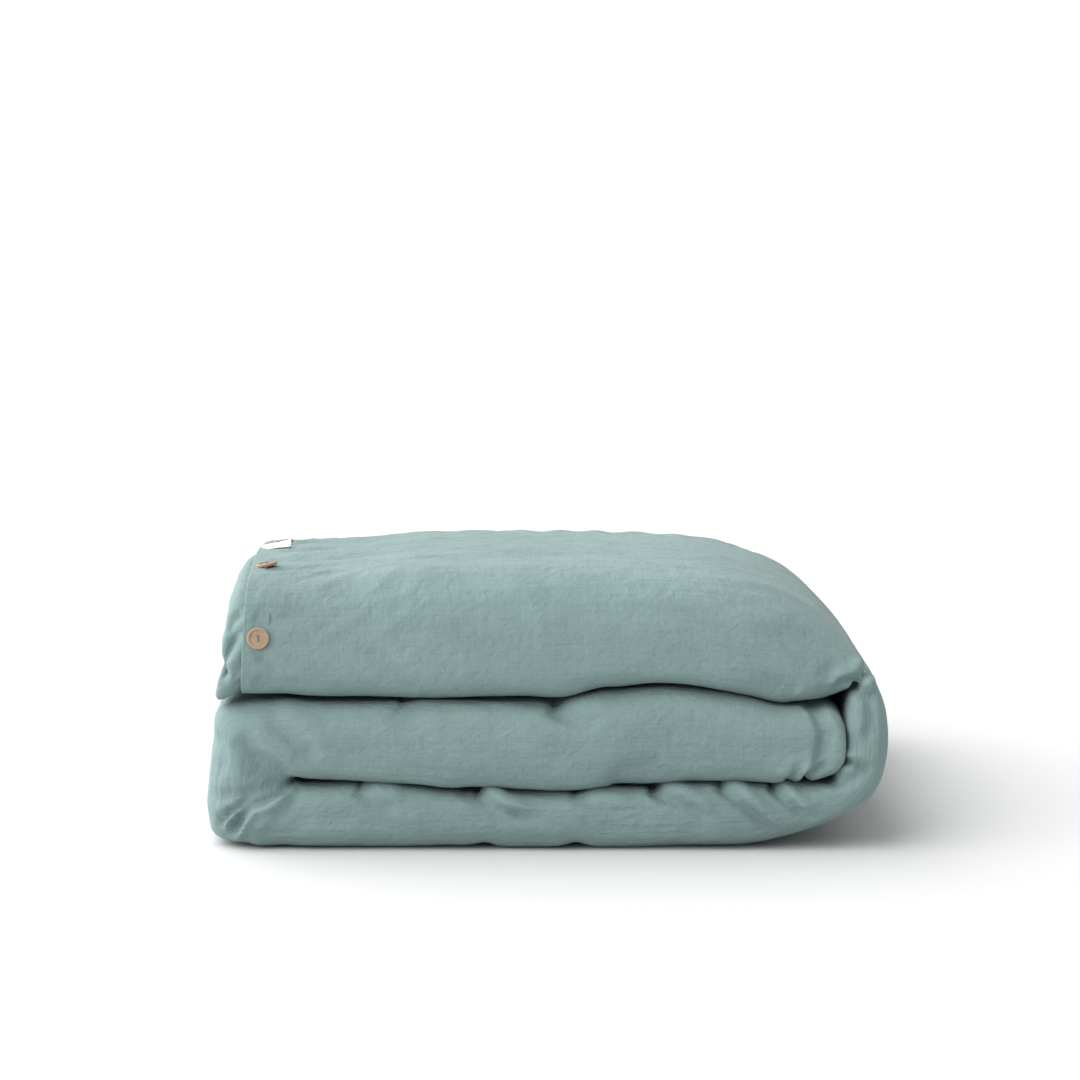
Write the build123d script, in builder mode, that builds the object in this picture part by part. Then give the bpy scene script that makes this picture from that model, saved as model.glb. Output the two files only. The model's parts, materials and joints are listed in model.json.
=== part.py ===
"""A duvet in a buttoned linen cover, halved lengthwise and folded in thirds like a letter.

Frame: +X to the right along the folded rolls, +Y from the rounded front folds to the seamed back
edges, +Z up. The origin is under the middle of the folded pile, on the surface it lies on.
The lowest two thirds are one strip turned back at the left. The strip then comes up round the
right end and over the top, and its buttoned opening ends at the left of the top third.
"""

import os
from math import pi, sqrt

from build123d import *

# The folded pile, in millimetres
folded_width = 684.0
folded_depth = 620.0
lower_height = 75.0  # each of the two pressed lower thirds
top_height = 127.0  # the loose top third
wrap_thickness = 43.0  # the strip that comes up round the right end
crease_gap = 1.0  # between one third and the next
turn_clearance = 0.5  # round the two lines that the pile opens about
wrap_lip = 10.0  # thickness left where the wrap's ends run out beside those lines
middle_clearance = 4.0  # from the closed end of the middle third to the wrap

# Cloth and insert
cloth = 1.0
hem_cloth = 1.2  # turned hem, two layers pressed together
slit = 1.0  # between the two halves of the lengthwise fold
ease = 0.3  # between the cover and whatever lies against it
ticking_cloth = 0.5
insert_short = 8.0  # the insert stops short of the cover's side seams
seam_depth = 6.0
seam_cloth = 2.4

# Opening end of the top third
front_fullness = 1.0  # the front fold of the top third would be this much taller if let
waist_height = 45.0  # where the top third's front fold stands furthest forward
crown_y = -110.0  # the top is highest here and falls to the back
crown_radius = 2270.0
opening_inset = 13.0  # the opening end stops short of the left fold below it
opening_lean = 24.0  # how far the top of the opening end leans inward
opening_lift = 10.0  # the end stands off the third below, which leaves room for the buttons
opening_drop = 20.0  # and is this much lower than the crown on top
opening_round = 16.0
lift_length = 129.0
drop_length = 149.0
shoulder_length = 172.0  # long slope down to the right end
shoulder_round = 24.0
reverse_reach = 28.0  # how far the reverse panel shows past the buttonhole hem
buttonhole_hem = 50.0
button_hem = 60.0

# Buttons, seven along the opening
button_count = 7
button_pitch = 200.0
front_button_height = 63.0  # above the base of the top third
first_button_back = 128.0  # from the front fold to the next button on top and underneath
button_inset = 16.0  # from the hem's edge to the buttons' centres
button_diameter = 22.0
button_thickness = 3.2
button_rim = 2.6
button_dish = 0.8
button_holes = 5.0
button_hole_diameter = 2.0
thread_diameter = 1.6
thread_bridge = 0.8
shank_diameter = 2.0
shank_gap = 0.4  # between a button and the hem under it
buttonhole_length = 26.0
buttonhole_width = 3.0

# Label and ties
label_length = 32.0
label_width = 20.0
label_cloth = 0.6
label_past_button = 150.0  # from the second button back to the label
tie_tape = 3.0
tie_length = 26.0
tie_cloth = 0.8
knot_diameter = 5.0
loop_diameter = 5.0
loop_cord = 1.2
tie_from_end = 40.0

# Worked out from the sizes above
half_width = folded_width / 2
opening_x = -half_width + opening_inset
front_y = -folded_depth / 2 + shank_gap + button_thickness  # the front button stands proud
label_y = front_y + first_button_back + label_past_button
back_y = folded_depth / 2 - seam_depth
insert_back_y = back_y - cloth - insert_short
beyond = 10.0  # how far a cutting shape runs past what it cuts
front_plane = Plane.XZ.offset(folded_depth)  # front views are drawn well before the pile
through = -2 * folded_depth
lower_radius = lower_height / 2
top_radius = top_height / 2
wrap_radius = wrap_thickness / 2
middle_base = lower_height + crease_gap
middle_top = middle_base + lower_height
top_base = middle_top + crease_gap
top_crown = top_base + top_height
fold_x = -half_width + lower_height + crease_gap / 2
fold_z = lower_height + crease_gap / 2
wrap_hinge = (half_width - lower_radius, lower_radius)
top_hinge = (half_width - top_radius, top_base + top_radius)
wrap_inner_x = half_width - wrap_thickness
closed_end_x = wrap_inner_x - middle_clearance
middle_end_x = closed_end_x - seam_depth / 4
hem_x = opening_x + reverse_reach
band_x = hem_x + buttonhole_hem
button_band_x = hem_x + button_hem
button_x = hem_x + button_inset
lift_x = opening_x + lift_length
drop_x = opening_x + drop_length
underlap_inset = hem_cloth + ease
top_insert_inset = underlap_inset + hem_cloth + ease
insert_inset = cloth + ease
reverse_half = slit / 2 + cloth
insert_slit_half = reverse_half + ease
filling_slit_half = insert_slit_half + ticking_cloth


def finish(part, name):
    """Labels a finished piece and writes it."""
    part.label = name
    export_step(part, f"parts/{name}.step")


def roll_section(low, high, inset, back):
    """End view of a roll: a half-round front fold running straight to the back."""
    middle_y = front_y + (high - low) / 2
    radius = (high - low) / 2 - inset
    with Locations(((middle_y + back) / 2, (low + high) / 2)):
        Rectangle(back - middle_y, 2 * radius)
    with Locations((middle_y, (low + high) / 2)):
        Circle(radius)


def limb(low, high, end_x, inset, back):
    """A roll from the left fold to a round right end, drawn in by an inset all round."""
    radius = (high - low) / 2 - inset
    centre_x = end_x - (high - low) / 2
    with BuildPart() as roll:
        with BuildSketch(Plane.YZ.offset(fold_x)):
            roll_section(low, high, inset, back)
        extrude(amount=centre_x + radius - fold_x)
        with BuildSketch(front_plane):
            with Locations(((fold_x + centre_x) / 2, (low + high) / 2)):
                Rectangle(centre_x - fold_x, 2 * radius)
            with Locations((centre_x, (low + high) / 2)):
                Circle(radius)
        extrude(amount=through, mode=Mode.INTERSECT)
    return roll.part


def lower_block(inset, back):
    """The lowest two thirds as one strip, turned back over itself at the left."""
    with BuildPart() as block:
        add(limb(0, lower_height, half_width, inset, back))
        add(limb(middle_base, middle_top, middle_end_x, inset, back))
        with BuildSketch(Plane.YZ.offset(fold_x)):
            roll_section(0, lower_height, inset, back)
        revolve(axis=Axis((fold_x, 0, fold_z), (0, 1, 0)), revolution_arc=180)
    return block.part


def wrap_block(inset, back):
    """The upright strip at the right, hollowed at both ends round the lines it turns about."""
    low_end = end_height(wrap_hinge[1], lower_radius, 1) + inset
    high_end = end_height(top_hinge[1], top_radius, -1) - inset
    middle_x = half_width - wrap_radius
    middle_y = front_y + wrap_radius
    with BuildPart() as block:
        with BuildSketch(Plane.XY.offset(low_end)):
            with Locations((middle_x, (middle_y + back) / 2)):
                Rectangle(2 * (wrap_radius - inset), back - middle_y)
            with Locations((middle_x, middle_y)):
                Circle(wrap_radius - inset)
        extrude(amount=high_end - low_end)
        with BuildSketch(front_plane):
            with Locations(wrap_hinge):
                Circle(lower_radius + turn_clearance + inset)
            with Locations(top_hinge):
                Circle(top_radius + turn_clearance + inset)
        extrude(amount=through, mode=Mode.SUBTRACT)
    return block.part


def end_height(hinge_z, radius, side):
    """Height where the wrap is as thin as its lip beside a turning line."""
    return hinge_z + side * sqrt((radius + turn_clearance) ** 2 - (radius - wrap_lip) ** 2)


def top_outline(inset):
    """Front view of the top third: lifted opening end, long shoulder and round right end."""
    with BuildSketch() as outline:
        with BuildLine():
            Polyline(
                (top_hinge[0], top_base),
                (lift_x, top_base),
                (opening_x, top_base + opening_lift),
                (opening_x + opening_lean, top_crown - opening_drop),
                (drop_x, top_crown),
                (half_width - shoulder_length, top_crown),
            )
            TangentArc(
                (half_width - shoulder_length, top_crown),
                (half_width, top_hinge[1]),
                tangent=(1, 0),
            )
            RadiusArc(
                (half_width, top_hinge[1]), (top_hinge[0], top_base), top_radius
            )
        make_face()
        corners = outline.vertices().sort_by(Axis.X)
        fillet(corners[0:2], radius=opening_round)
        fillet(corners[-1], radius=shoulder_round)
    if not inset:
        return outline.sketch
    with BuildSketch() as drawn_in:
        add(outline.sketch)
        offset(amount=-inset, kind=Kind.INTERSECTION, mode=Mode.REPLACE)
    return drawn_in.sketch


def top_section(inset, back):
    """End view of the top third: its front fold is fullest low down and slopes up and back."""
    low_radius = waist_height + front_fullness - inset
    high_radius = top_height - waist_height + front_fullness - inset
    waist = (front_y + inset, top_base + waist_height)
    low_start = (waist[0] + low_radius, waist[1] - low_radius)
    high_end = (waist[0] + high_radius, waist[1] + high_radius)
    with BuildLine(mode=Mode.PRIVATE) as edge:
        Polyline(high_end, (back, high_end[1]), (back, low_start[1]), low_start)
        RadiusArc(low_start, waist, low_radius)
        RadiusArc(waist, high_end, high_radius)
    make_face(edge.edges())


def crown_drop(y):
    """How far the top of the pile has fallen from its crown at a place from front to back."""
    return crown_radius - sqrt(crown_radius**2 - (y - crown_y) ** 2)


def top_block(inset, back, left=opening_x - beyond, right=half_width + beyond):
    """The top third between two places along its length, drawn in by an inset all round."""
    outline = top_outline(inset)
    with BuildPart() as block:
        with BuildSketch(Plane.YZ.offset(left)):
            top_section(inset, back)
        extrude(amount=right - left)
        with BuildSketch(Plane.YZ.offset(left)):
            with Locations((crown_y, top_crown - crown_radius)):
                Circle(crown_radius - inset)
        extrude(amount=right - left, mode=Mode.INTERSECT)
        with BuildSketch(front_plane):
            add(outline)
        extrude(amount=through, mode=Mode.INTERSECT)
    return block.part


def top_slit(half, back, inset=-beyond):
    """A thin layer between the two halves of the top third, drawn in at its opening end."""
    outline = top_outline(inset)
    with BuildPart() as block:
        with BuildSketch(Plane.YZ.offset(opening_x - beyond)):
            roll_section(top_base, top_crown, top_radius - half, back)
        extrude(amount=top_hinge[0] + half - opening_x + beyond)
        with BuildSketch(front_plane):
            add(outline)
        extrude(amount=through, mode=Mode.INTERSECT)
    return block.part


def cover_and_insert(name, block, radius):
    """The four layers of a stretch of the folded strip, from its outside to its slit."""
    past = back_y + beyond
    with BuildPart() as face_panel:
        add(block(0, back_y))
        add(block(cloth, back_y - cloth), mode=Mode.SUBTRACT)
        add(block(radius - reverse_half, past), mode=Mode.SUBTRACT)
    finish(face_panel.part, f"face_panel_{name}")

    with BuildPart() as reverse_panel:
        add(block(radius - reverse_half, back_y))
        add(block(radius - slit / 2, past), mode=Mode.SUBTRACT)
    finish(reverse_panel.part, f"reverse_panel_{name}")

    with BuildPart() as filling:
        add(block(insert_inset + ticking_cloth, insert_back_y - ticking_cloth))
        add(block(radius - filling_slit_half, past), mode=Mode.SUBTRACT)
    finish(filling.part, f"insert_filling_{name}")

    with BuildPart() as ticking:
        add(block(insert_inset, insert_back_y))
        add(filling.part, mode=Mode.SUBTRACT)
        add(block(radius - insert_slit_half, past), mode=Mode.SUBTRACT)
    finish(ticking.part, f"insert_ticking_{name}")


def seam_strip(z):
    """End view of one flat side seam, standing back from the cover's edge."""
    with Locations((back_y + seam_depth / 2, z)):
        Rectangle(seam_depth, seam_cloth)


def lower_side_seam(name, z):
    """A side seam along the bottom third, round the left fold and along the middle third."""
    with BuildPart() as seam:
        with BuildSketch(Plane.YZ.offset(fold_x)):
            seam_strip(z)
        extrude(amount=wrap_hinge[0] - fold_x)
        with BuildSketch(Plane.YZ.offset(fold_x)):
            seam_strip(2 * fold_z - z)
        extrude(amount=middle_end_x - lower_radius - fold_x)
        with BuildSketch(Plane.YZ.offset(fold_x)):
            seam_strip(z)
        revolve(axis=Axis((fold_x, 0, fold_z), (0, 1, 0)), revolution_arc=180)
    finish(seam.part, name)


def closed_end_seam():
    """The seam across the closed end, a flat rim round the end of the middle third."""
    half_inset = lower_radius / 2
    with BuildPart() as seam:
        with BuildSketch(Plane.YZ.offset(middle_end_x - lower_radius)):
            roll_section(middle_base, middle_top, half_inset - seam_cloth / 2, back_y)
        extrude(amount=closed_end_x - middle_end_x + lower_radius)
        with BuildSketch(Plane.YZ.offset(middle_end_x - lower_radius)):
            roll_section(middle_base, middle_top, half_inset + seam_cloth / 2, back_y + beyond)
        extrude(amount=closed_end_x - middle_end_x + lower_radius, mode=Mode.SUBTRACT)
        add(limb(middle_base, middle_top, middle_end_x, 0, back_y + beyond), mode=Mode.SUBTRACT)
    finish(seam.part, "closed_end_seam")


def wrap_side_seam(name, x):
    """A side seam up the back of the right wrap."""
    low_end = end_height(wrap_hinge[1], lower_radius + seam_depth, 1)
    high_end = end_height(top_hinge[1], top_radius + seam_depth, -1)
    with BuildPart() as seam:
        with BuildSketch(Plane.XY.offset(low_end)):
            with Locations((x, back_y + seam_depth / 2)):
                Rectangle(seam_cloth, seam_depth)
        extrude(amount=high_end - low_end)
    finish(seam.part, name)


def top_side_seam(name, z):
    """A side seam along the back of the top third, as far as the reverse panel's end."""
    left = opening_x + opening_lean
    with BuildPart() as seam:
        with BuildSketch(Plane.YZ.offset(left)):
            seam_strip(z)
        extrude(amount=top_hinge[0] - left)
    finish(seam.part, name)


def corner_tie(number, x, z):
    """Two tape tails knotted beside a cord loop, holding a corner of the insert."""
    y = insert_back_y + (loop_diameter + loop_cord) / 2
    with BuildPart() as tie:
        with Locations((x, y, z)):
            Sphere(knot_diameter / 2)
            Box(tie_length, tie_cloth, tie_tape)
    finish(tie.part, f"cover_tie_{number}")
    with BuildPart(Plane((x - knot_diameter, y, z), z_dir=(1, 0, 0))) as loop:
        Torus(loop_diameter / 2, loop_cord / 2)
    finish(loop.part, f"insert_loop_{number}")


def button_planes():
    """Each button's plane on the hem: the front fold first, then back along the top and base."""
    high_radius = top_height - waist_height + front_fullness
    rise = front_button_height - waist_height
    run = sqrt(high_radius**2 - rise**2)
    front = (button_x, front_y + high_radius - run, top_base + front_button_height)
    planes = [Plane(front, x_dir=(1, 0, 0), z_dir=(0, -run, rise))]
    drop_slope = opening_drop / (drop_length - opening_lean)
    lift_slope = opening_lift / lift_length
    end_z = top_crown - (drop_x - button_x) * drop_slope
    base_z = top_base + (lift_x - button_x) * lift_slope
    for step in range(button_count // 2):
        y = front_y + first_button_back + step * button_pitch
        crown_z = top_crown - crown_drop(y)
        if crown_z < end_z:
            top = Plane((button_x, y, crown_z), x_dir=(1, 0, 0), z_dir=(0, y - crown_y, crown_radius))
        else:
            top = Plane(
                (button_x, y, end_z), x_dir=(1, 0, drop_slope), z_dir=(-drop_slope, 0, 1)
            )
        base = Plane((button_x, y, base_z), x_dir=(1, 0, -lift_slope), z_dir=(-lift_slope, 0, -1))
        planes += [top, base]
    return planes


def sewn_button(number, plane):
    """A dished two-hole button, and the thread that holds it through its buttonhole."""
    low = shank_gap
    rim_z = low + button_thickness
    radius = button_diameter / 2
    with BuildPart(plane) as button:
        with BuildSketch(plane.offset(low)):
            Circle(radius)
        extrude(amount=button_thickness)
        fillet(button.edges().filter_by(GeomType.CIRCLE), radius=button_thickness / 3)
        with BuildSketch(plane.offset(rim_z)):
            Circle(radius - button_rim)
        extrude(amount=-button_dish, mode=Mode.SUBTRACT)
        with BuildSketch(plane.offset(low)):
            with Locations((0, -button_holes / 2), (0, button_holes / 2)):
                Circle(button_hole_diameter / 2)
        extrude(amount=button_thickness, mode=Mode.SUBTRACT)
    finish(button.part, f"button_{number}")

    shank_length = hem_cloth + ease / 2 + low
    with BuildPart(plane) as thread:
        with BuildSketch(plane.offset(low)):
            Circle(shank_diameter / 2)
        extrude(amount=-shank_length)
        with BuildSketch(plane.offset(low - thread_bridge / 2)):
            Rectangle(thread_diameter, button_holes + thread_diameter)
        extrude(amount=thread_bridge / 2)
        with BuildSketch(plane.offset(low)):
            with Locations((0, -button_holes / 2), (0, button_holes / 2)):
                Circle(thread_diameter / 2)
        extrude(amount=button_thickness - button_dish + thread_bridge)
        with BuildSketch(plane.offset(rim_z - button_dish)):
            Rectangle(thread_diameter, button_holes + thread_diameter)
        extrude(amount=thread_bridge)
    finish(thread.part, f"thread_{number}")


def opening_end(planes):
    """The hems and the end of the reverse panel, where the cover buttons up."""
    past = back_y + beyond
    slit_space = top_slit(reverse_half, past)
    with BuildPart() as buttonhole_band:
        add(top_block(0, back_y, hem_x, band_x))
        add(
            top_block(hem_cloth, back_y - hem_cloth, hem_x - beyond, band_x + beyond),
            mode=Mode.SUBTRACT,
        )
        add(slit_space, mode=Mode.SUBTRACT)
        for plane in planes:
            with BuildSketch(plane.offset(button_thickness)):
                Rectangle(buttonhole_width, buttonhole_length)
            extrude(amount=-2 * button_thickness, mode=Mode.SUBTRACT)
    finish(buttonhole_band.part, "buttonhole_band")

    back = back_y - underlap_inset
    inner_inset = underlap_inset + hem_cloth
    with BuildPart() as button_band:
        add(top_block(underlap_inset, back, hem_x, button_band_x))
        add(
            top_block(inner_inset, back - hem_cloth, hem_x - beyond, button_band_x + beyond),
            mode=Mode.SUBTRACT,
        )
        add(slit_space, mode=Mode.SUBTRACT)
    finish(button_band.part, "button_band")

    with BuildPart() as reverse_panel:
        add(top_block(underlap_inset, back_y, opening_x, hem_x))
        add(
            top_block(inner_inset, back_y - hem_cloth, opening_x, hem_x + beyond),
            mode=Mode.SUBTRACT,
        )
        add(top_slit(reverse_half, back_y, underlap_inset))
        add(top_slit(slit / 2, past, inner_inset), mode=Mode.SUBTRACT)
    finish(reverse_panel.part, "reverse_panel_top")


def top_cover_and_insert():
    """The face panel right of its hem, and the insert inside the top third."""
    past = back_y + beyond
    with BuildPart() as face_panel:
        add(top_block(0, back_y, band_x))
        add(top_block(cloth, back_y - cloth, band_x - beyond), mode=Mode.SUBTRACT)
        add(top_slit(reverse_half, past), mode=Mode.SUBTRACT)
    finish(face_panel.part, "face_panel_top")

    filling_inset = top_insert_inset + ticking_cloth
    with BuildPart() as filling:
        add(top_block(filling_inset, insert_back_y - ticking_cloth))
        add(top_slit(filling_slit_half, past), mode=Mode.SUBTRACT)
    finish(filling.part, "insert_filling_top")

    with BuildPart() as ticking:
        add(top_block(top_insert_inset, insert_back_y))
        add(filling.part, mode=Mode.SUBTRACT)
        add(top_slit(insert_slit_half, past), mode=Mode.SUBTRACT)
    finish(ticking.part, "insert_ticking_top")


def woven_label(plane):
    """A blank woven label lying on the hem, sewn down along its edge at the hem."""
    with BuildPart(plane) as label:
        with BuildSketch(plane.offset(ease)):
            with Locations((hem_x - plane.origin.X + label_length / 2, 0)):
                Rectangle(label_length, label_width)
        extrude(amount=label_cloth)
    finish(label.part, "woven_label")


def lower_thirds():
    """Everything in the strip's lowest two thirds."""
    cover_and_insert("lower", lower_block, lower_radius)
    lower_side_seam("side_seam_outer_lower", lower_radius / 2)
    lower_side_seam("side_seam_inner_lower", lower_height - lower_radius / 2)
    closed_end_seam()
    x = middle_end_x - lower_radius - tie_from_end
    corner_tie(1, x, middle_top - lower_radius / 2)
    corner_tie(2, x, middle_base + lower_radius / 2)


def right_wrap():
    """Everything in the strip that comes up round the right end."""
    cover_and_insert("wrap", wrap_block, wrap_radius)
    wrap_side_seam("side_seam_outer_wrap", half_width - wrap_radius / 2)
    wrap_side_seam("side_seam_inner_wrap", wrap_inner_x + wrap_radius / 2)


def top_third():
    """Everything in the top third, with its buttoned end at the left."""
    planes = button_planes()
    top_cover_and_insert()
    opening_end(planes)
    top_side_seam("side_seam_outer_top", top_crown - opening_drop - top_radius / 2)
    top_side_seam("side_seam_inner_top", top_base + top_radius / 2)
    x = button_band_x + tie_from_end
    corner_tie(3, x, top_crown - opening_drop - top_radius / 2)
    corner_tie(4, x, top_base + top_radius / 2)
    top_plane = planes[1]
    woven_label(Plane((button_x, label_y, top_plane.origin.Z), top_plane.x_dir, top_plane.z_dir))
    for number, plane in enumerate(planes, start=1):
        sewn_button(number, plane)


os.makedirs("parts", exist_ok=True)
lower_thirds()
right_wrap()
top_third()
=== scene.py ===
"""A duvet in a buttoned washed-linen cover, halved lengthwise and folded in thirds.

The cover is one closed tube of cloth laid along the whole folded strip, from its closed end inside the
pile to its buttoned end on top. It is puffed and wrinkled in one piece, and then cut where the folded
pile opens, into one piece for each stretch. The duvet inside and the reverse panel follow
the same strip. Lengths below are in millimetres unless a name says otherwise.
"""

import json
import math

import bpy
import numpy as np
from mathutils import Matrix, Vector


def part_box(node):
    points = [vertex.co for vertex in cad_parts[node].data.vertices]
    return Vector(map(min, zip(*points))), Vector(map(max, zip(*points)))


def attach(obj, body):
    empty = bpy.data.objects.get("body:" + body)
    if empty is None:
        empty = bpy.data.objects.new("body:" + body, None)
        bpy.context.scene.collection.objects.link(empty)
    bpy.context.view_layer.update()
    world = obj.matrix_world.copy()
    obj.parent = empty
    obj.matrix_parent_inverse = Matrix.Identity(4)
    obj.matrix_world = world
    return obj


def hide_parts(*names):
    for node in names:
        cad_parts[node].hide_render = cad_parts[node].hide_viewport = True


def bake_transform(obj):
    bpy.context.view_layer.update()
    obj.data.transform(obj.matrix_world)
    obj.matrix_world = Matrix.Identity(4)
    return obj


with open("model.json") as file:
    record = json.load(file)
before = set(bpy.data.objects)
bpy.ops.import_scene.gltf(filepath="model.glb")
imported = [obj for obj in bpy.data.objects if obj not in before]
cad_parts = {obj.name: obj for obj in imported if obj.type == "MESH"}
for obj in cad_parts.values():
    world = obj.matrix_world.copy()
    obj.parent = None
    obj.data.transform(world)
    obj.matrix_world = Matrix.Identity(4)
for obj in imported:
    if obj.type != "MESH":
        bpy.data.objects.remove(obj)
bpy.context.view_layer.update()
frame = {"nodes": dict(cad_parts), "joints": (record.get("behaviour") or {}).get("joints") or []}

MM = 0.001


def metres(points):
    return np.asarray(points, float) * MM


def millimetres(node):
    """A CAD node's lowest and highest corners, in millimetres."""
    low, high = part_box(node)
    return np.array(low) / MM, np.array(high) / MM


# ---------------------------------------------------------------- sizes from the frame
LOWER_LOW, LOWER_HIGH = millimetres("face_panel_lower")
FRONT = LOWER_LOW[1]
BACK = LOWER_HIGH[1]

# ---------------------------------------------------------------- the folded strip
# Stations along the strip, from the closed end of the middle third, round the left fold, along the
# bottom, up the right wrap and back over the top to the hem. Each is the outer side's x and z, the
# inner side's x and z, how far the front fold is set back, how deep its rounding is, the shares it has
# of the crown's fall to the back and of the corner's, and how far its front leans back.
STATIONS = (
    (299, 108, 299, 102, 16, 24, 0, 0, 0),
    (297, 128, 297, 84, 6, 30, 0, 0, 0),
    (282, 142, 282, 72, 2, 36, 0, 0, 0),
    (240, 146, 240, 65, 0, 38, 0, 0, 0),
    (125, 154, 125, 64, 0, 40, 0, 0, 0),
    (0, 147, 0, 62, 0, 40, 0, 0, 0),
    (-120, 146, -120, 63, 0, 40, 0, 0, 0),
    (-215, 146, -210, 66, 0, 40, 0, 0, 0),
    (-292, 147, -240, 68, 0, 44, 0, 0, 0),
    (-329, 136, -247, 68, 4, 52, 0, 0, 0),
    (-337, 101, -251, 67, 10, 56, 0, 0, 0),
    (-341, 62, -252, 66, 10, 54, 0, 0, 0),
    (-342, 34, -250, 65, 7, 50, 0, 0, 0),
    (-331, 8, -243, 63, 3, 44, 0, 0, 0),
    (-285, 1, -222, 62, 0, 38, 0, 0, 0),
    (-150, 0, -150, 62, 0, 36, 0, 0, 0),
    (0, 0, 0, 60, 0, 36, 0, 0, 0),
    (120, 0, 120, 62, 0, 36, 0, 0, 0),
    (200, 3, 203, 63, 0, 38, 0, 0, 0),
    (262, 16, 246, 64, 2, 40, 0, 0, 0),
    (306, 35, 274, 66, 4, 40, 0, 0, 0),
    (331, 58, 290, 76, 5, 36, 0, 0, 0),
    (340, 90, 297, 96, 6, 30, 0, 0, 0),
    (340, 130, 299, 128, 7, 28, 0, 0, 0),
    (333, 160, 305, 153, 12, 28, 0.1, 0, 2),
    (320, 183, 309, 163, 17, 34, 0.3, 0, 6),
    (300, 208, 301, 156, 16, 46, 0.6, 0, 14),
    (271, 236, 280, 148, 11, 56, 0.8, 0, 22),
    (230, 257, 242, 148, 5, 62, 1, 0, 26),
    (183, 269, 198, 151, 1, 64, 1, 0, 28),
    (132, 275, 140, 155, 0, 64, 1, 0, 28),
    (75, 278, 90, 156, 0, 64, 1, 0, 28),
    (0, 279, 0, 151, 0, 64, 1, 0, 28),
    (-120, 278, -120, 149, 0, 64, 0.95, 0.05, 28),
    (-200, 271, -200, 150, 0, 60, 0.7, 0.3, 25),
    (-250, 269, -252, 152, 0, 56, 0.3, 0.7, 20),
    (-296, 268, -302, 154, 0, 54, 0, 1, 16),
)
LAST_LOWER = 15  # station where the left fold's piece hands over to the bottom third's
MID_WRAP = 23  # station half way up the wrap
WRAP = (19.5, 25.5)
SQUARE_ABOVE = 2.5
SQUARE_BELOW = 3.3  # the front hangs fuller and squarer below its middle
CROWN_CENTRE = -110.0
CROWN_FALL = 0.00022
CORNER_FALL = 0.00037  # the buttoned end's back corner drops away faster than the crown
CORNER_START = -50.0
BACK_LOBE = 30.0
END_SKEW = 11.0  # the hem runs a little further left away from the front
UNDERSIDE_LIFT = 5.0  # behind the front fold, the buttoned end stands off the third under it

COLUMN_STEP = 3.2
ARC_POINTS = 56
FLAT_POINTS = 66
LOBE_POINTS = 9


def smooth(low, high, value):
    """0 below low, 1 above high and a smooth step between."""
    t = np.clip((value - low) / (high - low), 0, 1)
    return t * t * (3 - 2 * t)


def hill(value, centre, width):
    """A bell of height 1 at its centre."""
    return np.exp(-(((value - centre) / width) ** 2))


def spline(rows, where):
    """A Catmull-Rom curve through rows, read at fractional row numbers."""
    rows = np.asarray(rows, float)
    padded = np.vstack([2 * rows[:1] - rows[1:2], rows, 2 * rows[-1:] - rows[-2:-1]])
    index = np.clip(np.floor(where).astype(int), 0, len(rows) - 2)
    t = (where - index)[:, None]
    a, b, c, d = (padded[index + k] for k in range(4))
    return 0.5 * (
        2 * b + (c - a) * t + (2 * a - 5 * b + 4 * c - d) * t**2 + (3 * b - a - 3 * c + d) * t**3
    )


def columns_along(rows, step):
    """Row numbers about one step apart along a mean of both sides, an odd count of them."""
    fine = np.linspace(0.0, len(rows) - 1, 4000)
    points = spline(rows, fine)[:, :4]
    outer = np.hypot(*np.diff(points[:, :2], axis=0).T)
    inner = np.hypot(*np.diff(points[:, 2:4], axis=0).T)
    travel = np.concatenate([[0], np.cumsum(0.65 * outer + 0.35 * inner)])
    count = 2 * int(round(travel[-1] / step / 2)) + 1
    return np.interp(np.linspace(0, travel[-1], count), travel, fine)


def front_arc(count):
    """Side and arc of evenly spaced points round the front: a superellipse, squarer below."""
    turn = np.linspace(math.pi / 2, -math.pi / 2, 4001)
    power = np.where(turn > 0, 2 / SQUARE_ABOVE, 2 / SQUARE_BELOW)
    side = np.sign(np.sin(turn)) * np.abs(np.sin(turn)) ** power
    arc = np.abs(np.cos(turn)) ** power
    length = np.concatenate([[0], np.cumsum(np.hypot(np.diff(side), np.diff(arc)))])
    even = np.linspace(0, length[-1], count)[1:-1]
    return np.interp(even, length, side), np.interp(even, length, arc)


def cover_ring():
    """Round the cover: side (1 outside to -1 inside), place (0 back to 1 front), lobe and arc."""
    lobe = np.linspace(-math.pi / 2, math.pi / 2, LOBE_POINTS)[:-1]
    rise, arc = front_arc(ARC_POINTS)
    flat = np.linspace(0, 1, FLAT_POINTS) ** 0.75
    back = np.stack([0.5 + 0.5 * np.sin(lobe), 0 * lobe, 1 - np.cos(lobe), 0 * lobe], axis=1)
    upper = np.stack([0 * flat + 1, flat, 1 - flat, 0 * flat], axis=1)
    bend = np.stack([rise, 0 * arc + 1, 0 * arc, arc], axis=1)
    mirror = np.array([-1, 1, 1, 1])
    return np.vstack([back, upper, bend, (upper * mirror)[::-1], (back * mirror)[::-1]])


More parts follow.
